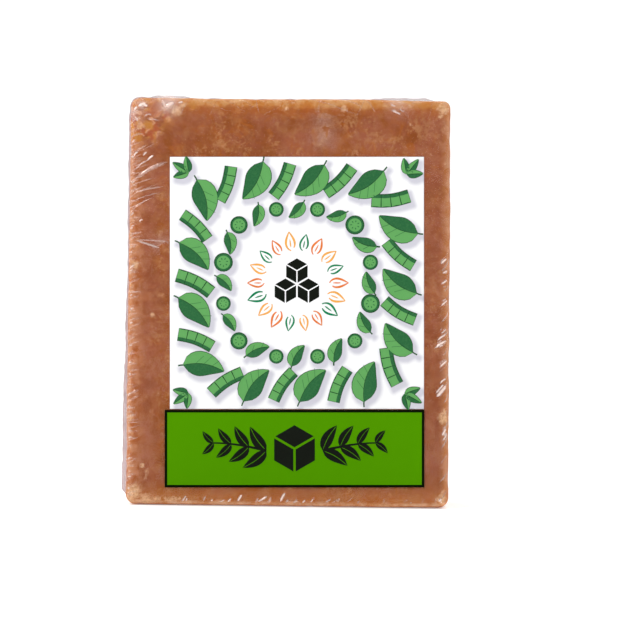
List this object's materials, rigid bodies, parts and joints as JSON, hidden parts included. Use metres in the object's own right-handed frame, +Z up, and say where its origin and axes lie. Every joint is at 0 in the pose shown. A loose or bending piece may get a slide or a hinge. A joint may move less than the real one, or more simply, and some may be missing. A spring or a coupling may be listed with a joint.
{
  "type": "jaggery block",
  "caption": "Rectangular block of solid caramel-brown jaggery shrink-wrapped in clear film, with a square white label and a green band label on its front; stands on its flat base.",
  "frame": {"origin": "centre of the bounding box, at the flat base", "axes": "+Z up the block's height, -Y out of the labelled front face, +X to the right seen from the front"},
  "size_m": [0.103, 0.0582, 0.1283],
  "materials": {
    "jaggery": "caramel-brown pressed sugar, mottled, matte to waxy, under thin glossy clear film",
    "label_paper": "smooth white label paper printed in two greens",
    "band_green": "smooth label paper printed flat green with a near-black border",
    "clear_film": "thin glossy clear shrink film"
  },
  "bodies": {
    "root": {"wrapped_block": "jaggery", "square_label": "label_paper", "band_label": "band_green"}
  },
  "joints": []
}
